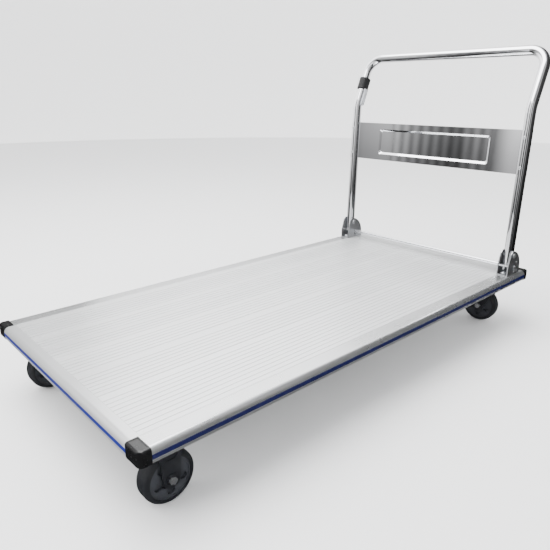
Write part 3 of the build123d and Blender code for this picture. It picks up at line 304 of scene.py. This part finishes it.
# brightness of the cloth by share of a full turn: 0 is -X, 0.25 is -Y, 0.5 is +X, 0.75 is +Y
TENT_STRIPES = (
    (0.0, 1.9), (0.03, 1.7), (0.05, 0.10), (0.10, 0.04), (0.13, 0.9), (0.155, 1.8), (0.18, 0.25),
    (0.23, 0.05), (0.27, 0.6), (0.30, 0.10), (0.37, 0.04), (0.45, 0.06), (0.48, 0.9), (0.54, 1.7),
    (0.60, 2.3), (0.70, 2.6), (0.77, 2.4), (0.785, 0.25), (0.795, 0.60), (0.82, 0.80), (0.85, 0.34),
    (0.885, 0.14), (0.90, 0.34), (0.918, 0.30), (0.932, 1.4), (0.96, 1.6), (1.0, 1.9))
# brightness by share of its height
TENT_LIFT = ((0.0, 0.12), (0.12, 0.26), (0.26, 0.62), (0.42, 1.25), (1.0, 1.9))
MAT_TONES = ((0.0, 0.03), (0.45, 0.05), (0.6, 0.16), (1.0, 0.22))

tent_shade = Shade("tent_cloth")
spot = tent_shade.node("TexCoord", output="Object")
across, along, height = (tent_shade.node("SeparateXYZ", None, {"Vector": spot}, output=axis)
                         for axis in "XYZ")
turn = tent_shade.node("Math", {"operation": "ARCTAN2"}, {0: along, 1: across}) * (0.5 / math.pi) + 0.5
ribs = tent_shade.node("Math", {"operation": "SINE"}, {0: turn * (2 * math.pi * TENT_RIBS)})
ribbed = (turn > RIBS_FROM) * (turn < RIBS_TO)
lift = tent_shade.ramp(height * (1.0 / TENT_HEIGHT), *TENT_LIFT)
tent_finish = tent_shade.glow(tent_shade.ramp(turn, *TENT_STRIPES),
                              lift * (1.0 + ribbed * ribs * RIB_CONTRAST))

mat_shade = Shade("tent_mat")
mat_finish = mat_shade.glow(mat_shade.ramp(mat_shade.noise(MAT_PATCH_SCALE, detail=1.0), *MAT_TONES), 1.0)

ring = []
for step in range(TENT_PANELS):
    angle = 2 * math.pi * step / TENT_PANELS
    ring.append((TENT_RADIUS * math.cos(angle), TENT_RADIUS * math.sin(angle)))
tent = new_mesh("tent", [(x, y, 0.0) for x, y in ring] + [(x, y, TENT_HEIGHT) for x, y in ring],
                [(i, (i + 1) % TENT_PANELS, (i + 1) % TENT_PANELS + TENT_PANELS, i + TENT_PANELS)
                 for i in range(TENT_PANELS)], tent_finish)
mat = new_mesh("mat", [(x, y, MAT_HEIGHT) for x, y in ring], [tuple(range(TENT_PANELS))], mat_finish)
for cloth in (tent, mat):
    for sight in HIDDEN_FROM:
        setattr(cloth, "visible_" + sight, False)


# ---- deck planks -----------------------------------------------------------
# Six aluminium extrusions laid side by side, mill finished: fine lines drawn
# along their length, a few handling marks, and a faint difference in tone.

PLANK_TONES = (0.90, 0.87, 0.88, 0.85, 0.87, 0.86)
LINES_ALONG = 4.0
LINES_ACROSS = 1600.0
BANDS_ALONG = 0.8
BANDS_ACROSS = 26.0
CLOUD_SCALE = 7.0
SCUFF_STRETCH = (60.0, 14.0, 20.0)
ALUMINIUM_PALE = (1.0, 1.0, 0.995)
ALUMINIUM_DEEP = (0.86, 0.875, 0.89)
ALUMINIUM_SCUFFED = (0.72, 0.73, 0.74)


def paint(material, *names):
    """Puts a material in every slot of some pieces of the frame."""
    for name in names:
        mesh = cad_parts[name].data
        if not mesh.materials:
            mesh.materials.append(material)
        for index in range(len(mesh.materials)):
            mesh.materials[index] = material


def tint(tone, shares):
    """A colour of a given brightness, from its shares of red, green and blue."""
    return tuple(tone * share for share in shares) + (1.0,)


def run(axis, along, across):
    """A stretch that draws marks out along X or Y."""
    return (along, across, across) if axis == "X" else (across, along, across)


def drawn_aluminium(name, tone, axis, gloss=0.34, metal=0.66):
    """Aluminium with the fine lines of drawing along X or Y."""
    shade = Shade(name)
    lines = shade.noise(1.0, run(axis, LINES_ALONG, LINES_ACROSS), detail=2.0)
    bands = shade.noise(1.0, run(axis, BANDS_ALONG, BANDS_ACROSS), detail=3.0)
    clouds = shade.noise(CLOUD_SCALE, detail=4.0)
    scuffs = shade.patches(1.0, start=0.62, full=0.72, stretch=SCUFF_STRETCH, detail=5.0, roughness=0.65)
    depth = (bands * 0.10 + clouds * 0.06 + lines * 0.05) * 3.0
    colour = shade.mix(depth, tint(tone, ALUMINIUM_DEEP), tint(tone, ALUMINIUM_PALE))
    colour = shade.mix(scuffs * 0.22, colour, tint(tone, ALUMINIUM_SCUFFED))
    rough = gloss + bands * 0.10 + clouds * 0.10 + scuffs * 0.12 - 0.08
    return shade.surface(Base_Color=colour, Metallic=metal, Roughness=rough,
                         Normal=shade.bump(lines, strength=0.25, depth=0.0002))


for index, tone in enumerate(PLANK_TONES):
    paint(drawn_aluminium(f"plank_aluminium_{index + 1}", tone, "X"), f"deck_plank_{index + 1}")


# ---- edge rails ------------------------------------------------------------
# Rounded aluminium extrusions round the deck, smoother and brighter than the
# planks. Each has a groove in its outer face for a strip.

paint(drawn_aluminium("side_rail_aluminium", 0.84, "X", gloss=0.26, metal=0.93),
      "side_rail_left", "side_rail_right")
paint(drawn_aluminium("end_rail_aluminium", 0.88, "Y", gloss=0.30, metal=0.74),
      "end_rail_front", "end_rail_rear")


# ---- edge strips -----------------------------------------------------------
# Blue plastic strips pressed into the rails' grooves, a little uneven in
# tone. All four are one plastic; the two long ones are painted a deeper blue as painted shade.

STRIP_BLUE = (0.004, 0.013, 0.22)
STRIP_CLOUDING = 0.65
STRIP_GLOSS = 0.28
LONG_STRIP_PAINTED_SHADE = 0.28


def strip_plastic(name, tone):
    """Blue moulded plastic of a given brightness."""
    shade = Shade(name)
    clouds = shade.noise(30.0, detail=3.0)
    colour = shade.mix(clouds, tint(tone * STRIP_CLOUDING, STRIP_BLUE), tint(tone, STRIP_BLUE))
    return shade.surface(Base_Color=colour, Roughness=clouds * 0.2 + STRIP_GLOSS,
                         Normal=shade.grain(900.0, strength=0.1))


paint(strip_plastic("strip_plastic", 1.0), "edge_strip_front", "edge_strip_rear")
# painted shade: the long strips get the same plastic at a lower brightness, for the shaded long sides
paint(strip_plastic("strip_plastic_long_painted_shade", LONG_STRIP_PAINTED_SHADE), "edge_strip_left", "edge_strip_right")


# ---- corner caps -----------------------------------------------------------
# Glossy black plastic mouldings that plug into the ends of the rails and
# round off the corners of the deck. Their surface is rubbed in places.

CAP_BLACK = (0.004, 0.004, 0.0045, 1.0)
CAP_RUBBED = (0.018, 0.018, 0.019, 1.0)
CAP_GLOSS = 0.12

cap_shade = Shade("cap_plastic")
cap_clouds = cap_shade.noise(45.0, detail=4.0)
cap_rub = cap_shade.patches(220.0, start=0.6, full=0.75, detail=5.0)
cap_finish = cap_shade.surface(
    Base_Color=cap_shade.mix(cap_rub * 0.5, CAP_BLACK, CAP_RUBBED),
    Roughness=cap_clouds * 0.22 + cap_rub * 0.15 + CAP_GLOSS,
    Normal=cap_shade.grain(1400.0, strength=0.12, detail=2.0))
paint(cap_finish, "corner_cap_front_left", "corner_cap_front_right",
      "corner_cap_rear_left", "corner_cap_rear_right")


# ---- cross members ---------------------------------------------------------
# Zinc-plated steel bars across the underside of the planks, held to the lips
# of the side rails by plated screws.

ZINC_PALE = (1.0, 1.01, 1.03)
ZINC_DEEP = (0.74, 0.76, 0.80)
ZINC_STAINED = (0.62, 0.60, 0.55)
ZINC_METAL = 0.95
SPANGLE_SCALE = 160.0


def zinc_plate(name, tone, gloss):
    """Zinc with the crystals, clouds and dull stains that plating leaves."""
    shade = Shade(name)
    spangle = shade.node("TexVoronoi", None, {"Vector": shade.place(), "Scale": SPANGLE_SCALE})
    clouds = shade.noise(55.0, detail=4.0)
    stain = shade.patches(24.0, start=0.55, full=0.75, detail=5.0, roughness=0.65)
    colour = shade.mix(spangle * 0.6 + clouds * 0.3, tint(tone, ZINC_PALE), tint(tone, ZINC_DEEP))
    colour = shade.mix(stain * 0.25, colour, tint(tone, ZINC_STAINED))
    return shade.surface(Base_Color=colour, Metallic=ZINC_METAL,
                         Roughness=gloss + clouds * 0.16 + stain * 0.15,
                         Normal=shade.grain(700.0, strength=0.10))


bolt_finish = zinc_plate("bolt_zinc", 0.80, gloss=0.20)
paint(zinc_plate("member_zinc", 0.52, gloss=0.36),
      "cross_member_front", "cross_member_middle", "cross_member_rear")
paint(bolt_finish, "member_screws")


# ---- caster forks and plates -----------------------------------------------
# Pressed steel, painted black and dusty. Zinc-plated bolts hold the plates to
# the cross members, the turning forks are riveted on their kingpins, and bolts
# with nuts are the axles.

FORK_BLACK = (0.010, 0.011, 0.014, 1.0)
FORK_DUSTY = (0.034, 0.035, 0.038, 1.0)
FORK_GLOSS = 0.28

fork_shade = Shade("fork_paint")
fork_clouds = fork_shade.noise(60.0, detail=4.0)
fork_dust = fork_shade.patches(35.0, start=0.5, full=0.8)
fork_finish = fork_shade.surface(
    Base_Color=fork_shade.mix(fork_dust * 0.5, FORK_BLACK, FORK_DUSTY),
    Roughness=fork_clouds * 0.2 + fork_dust * 0.15 + FORK_GLOSS,
    Normal=fork_shade.grain(520.0, strength=0.18, depth=0.0004, detail=2.0))
paint(fork_finish, "rigid_fork_left", "rigid_fork_right", "swivel_fork_left", "swivel_fork_right",
      "swivel_plate_left", "swivel_plate_right")
paint(bolt_finish, "kingpins", "caster_bolts", "rigid_axle_left", "rigid_axle_right",
      "swivel_axle_left", "swivel_axle_right")


# ---- wheels ----------------------------------------------------------------
# Dark grey moulded centres with a star-shaped hollow in each face. Round each
# is a rubber tyre a shade darker, dusty where it has rolled.

WHEEL_DEEP = (0.020, 0.022, 0.027, 1.0)
WHEEL_PALE = (0.040, 0.043, 0.050, 1.0)
WHEEL_GLOSS = 0.36
WHEEL_SHINE = 0.4
TYRE_BLACK = (0.010, 0.011, 0.014, 1.0)
TYRE_DUSTY = (0.040, 0.040, 0.042, 1.0)
TYRE_GLOSS = 0.36
TYRE_SHINE = 0.35

wheel_shade = Shade("wheel_plastic")
wheel_clouds = wheel_shade.noise(50.0, detail=4.0)
wheel_finish = wheel_shade.surface(
    Base_Color=wheel_shade.mix(wheel_clouds, WHEEL_DEEP, WHEEL_PALE),
    Roughness=wheel_clouds * 0.2 + WHEEL_GLOSS, Specular_IOR_Level=WHEEL_SHINE,
    Normal=wheel_shade.grain(1100.0, strength=0.14, detail=2.0))

tyre_shade = Shade("tyre_rubber")
tyre_clouds = tyre_shade.noise(70.0, detail=5.0)
tyre_dust = tyre_shade.patches(18.0, start=0.45, full=0.8)
tyre_finish = tyre_shade.surface(
    Base_Color=tyre_shade.mix(tyre_dust * 0.4, TYRE_BLACK, TYRE_DUSTY),
    Roughness=tyre_clouds * 0.2 + tyre_dust * 0.2 + TYRE_GLOSS, Specular_IOR_Level=TYRE_SHINE,
    Normal=tyre_shade.grain(600.0, strength=0.2, depth=0.0003))
for kind in ("rigid", "swivel"):
    for side in ("left", "right"):
        paint(wheel_finish, f"{kind}_wheel_{side}")
        paint(tyre_finish, f"{kind}_tyre_{side}")


# ---- hinge brackets --------------------------------------------------------
# Folded steel channels bolted to the side rails, zinc plated, with the pins
# that the handle folds on and the bright plates that it leans against.

paint(zinc_plate("bracket_zinc", 0.44, gloss=0.24), "hinge_bracket_left", "hinge_bracket_right")
paint(zinc_plate("stop_zinc", 0.74, gloss=0.20), "stop_plates")
paint(bolt_finish, "pivot_pins", "bracket_rivets", "bracket_bolts")


# ---- foot lock -------------------------------------------------------------
# A bright round bar across the deck that the foot presses down, kept in place
# by a ring at each end. A steel spring in each bracket pushes it back up.

SPRING_WIRE = 0.0008
SPRING_TURNS = 5.5
SPRING_STEPS = 26
SPRING_SIDES = 8

paint(zinc_plate("rod_zinc", 0.95, gloss=0.16), "lock_rod", "rod_clips")

spring_finish = zinc_plate("spring_wire", 0.46, gloss=0.22)
spring_low, spring_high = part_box("lock_springs")
coil_radius = (spring_high.x - spring_low.x - SPRING_WIRE) / 2
coil_middle = (spring_low.x + spring_high.x) / 2
coil_reach = (spring_high.y - spring_low.y) / 2 - coil_radius - SPRING_WIRE / 2
coil_steps = int(SPRING_TURNS * SPRING_STEPS)
for side_name, side in (("right", -1), ("left", 1)):
    wire = []
    for step in range(coil_steps + 1):
        share = step / coil_steps
        # closed coils at both ends, open ones between
        rise = share * share * (3 - 2 * share)
        z = spring_low.z + SPRING_WIRE / 2 + rise * (spring_high.z - spring_low.z - SPRING_WIRE)
        angle = 2 * math.pi * SPRING_TURNS * share
        outwards = Vector((math.cos(angle), math.sin(angle), 0))
        centre = Vector((coil_middle, side * coil_reach, z)) + outwards * coil_radius
        for corner in range(SPRING_SIDES):
            roll = 2 * math.pi * corner / SPRING_SIDES
            offset = outwards * math.cos(roll) + Vector((0, 0, math.sin(roll)))
            wire.append(centre + offset * (SPRING_WIRE / 2))
    faces = []
    for step in range(coil_steps):
        here = step * SPRING_SIDES
        ahead = here + SPRING_SIDES
        for corner in range(SPRING_SIDES):
            beside = (corner + 1) % SPRING_SIDES
            faces.append((here + corner, here + beside, ahead + beside, ahead + corner))
    last = coil_steps * SPRING_SIDES
    faces += [tuple(reversed(range(SPRING_SIDES))), tuple(range(last, last + SPRING_SIDES))]
    coil = new_mesh(f"lock_spring_{side_name}", wire, faces, spring_finish, smooth=True)
    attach(coil, "deck")
    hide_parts("lock_springs")
    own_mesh(coil)


# ---- handle tube -----------------------------------------------------------
# One steel tube, bent at the two top corners and at the slope of each
# upright, and chrome plated. A black plastic plug closes each foot.

CHROME_TONE = 0.82
CHROME_PALE = (1.0, 1.0, 1.02)
CHROME_DEEP = (0.88, 0.89, 0.92)
TUBE_WIPES = (60.0, 60.0, 30.0)
PLUG_BLACK = (0.004, 0.004, 0.0045, 1.0)
PLUG_PALE = (0.012, 0.012, 0.013, 1.0)
PLUG_GLOSS = 0.42
PLUG_SHINE = 0.25


def bright_chrome(name, gloss, wiped):
    """Chrome plate with faint wipe marks and fingerprints."""
    shade = Shade(name)
    clouds = shade.noise(14.0, detail=4.0)
    wipes = shade.noise(1.0, wiped, detail=2.0)
    prints = shade.patches(32.0, start=0.52, full=0.75)
    return shade.surface(
        Base_Color=shade.mix(clouds * 0.6, tint(CHROME_TONE, CHROME_PALE), tint(CHROME_TONE, CHROME_DEEP)),
        Metallic=1.0, Roughness=gloss + prints * 0.05 + wipes * 0.02,
        Normal=shade.bump(wipes * 0.3 + clouds, strength=0.05, depth=0.0005))


paint(bright_chrome("tube_chrome", gloss=0.03, wiped=TUBE_WIPES), "handle_tube")

plug_shade = Shade("plug_plastic")
plug_clouds = plug_shade.noise(120.0, detail=4.0)
plug_finish = plug_shade.surface(
    Base_Color=plug_shade.mix(plug_clouds, PLUG_BLACK, PLUG_PALE),
    Roughness=plug_clouds * 0.2 + PLUG_GLOSS, Specular_IOR_Level=PLUG_SHINE,
    Normal=plug_shade.grain(1300.0, strength=0.2))
paint(plug_finish, "foot_plug_left", "foot_plug_right")


# ---- back panel ------------------------------------------------------------
# One chrome-plated sheet with a field pressed into its middle. It is bent
# round the fronts of the uprights and riveted to them.

PANEL_WIPES = (40.0, 12.0, 60.0)

paint(bright_chrome("panel_chrome", gloss=0.02, wiped=PANEL_WIPES), "back_panel")
paint(bolt_finish, "panel_rivets")


# ---- collar and hanging tab ------------------------------------------------
# A black plastic collar in two halves, screwed together round the left
# upright, and a flat tab of grey plastic with a hole, which hangs below it.

TAB_DEEP = (0.30, 0.31, 0.33, 1.0)
TAB_PALE = (0.42, 0.43, 0.45, 1.0)
TAB_GLOSS = 0.38

paint(plug_finish, "collar_front", "collar_back")
paint(bolt_finish, "collar_screws")

tab_shade = Shade("tab_plastic")
tab_clouds = tab_shade.noise(90.0, detail=4.0)
tab_finish = tab_shade.surface(
    Base_Color=tab_shade.mix(tab_clouds, TAB_DEEP, TAB_PALE),
    Roughness=tab_clouds * 0.2 + TAB_GLOSS,
    Normal=tab_shade.grain(900.0, strength=0.15))
paint(tab_finish, "hang_tab")
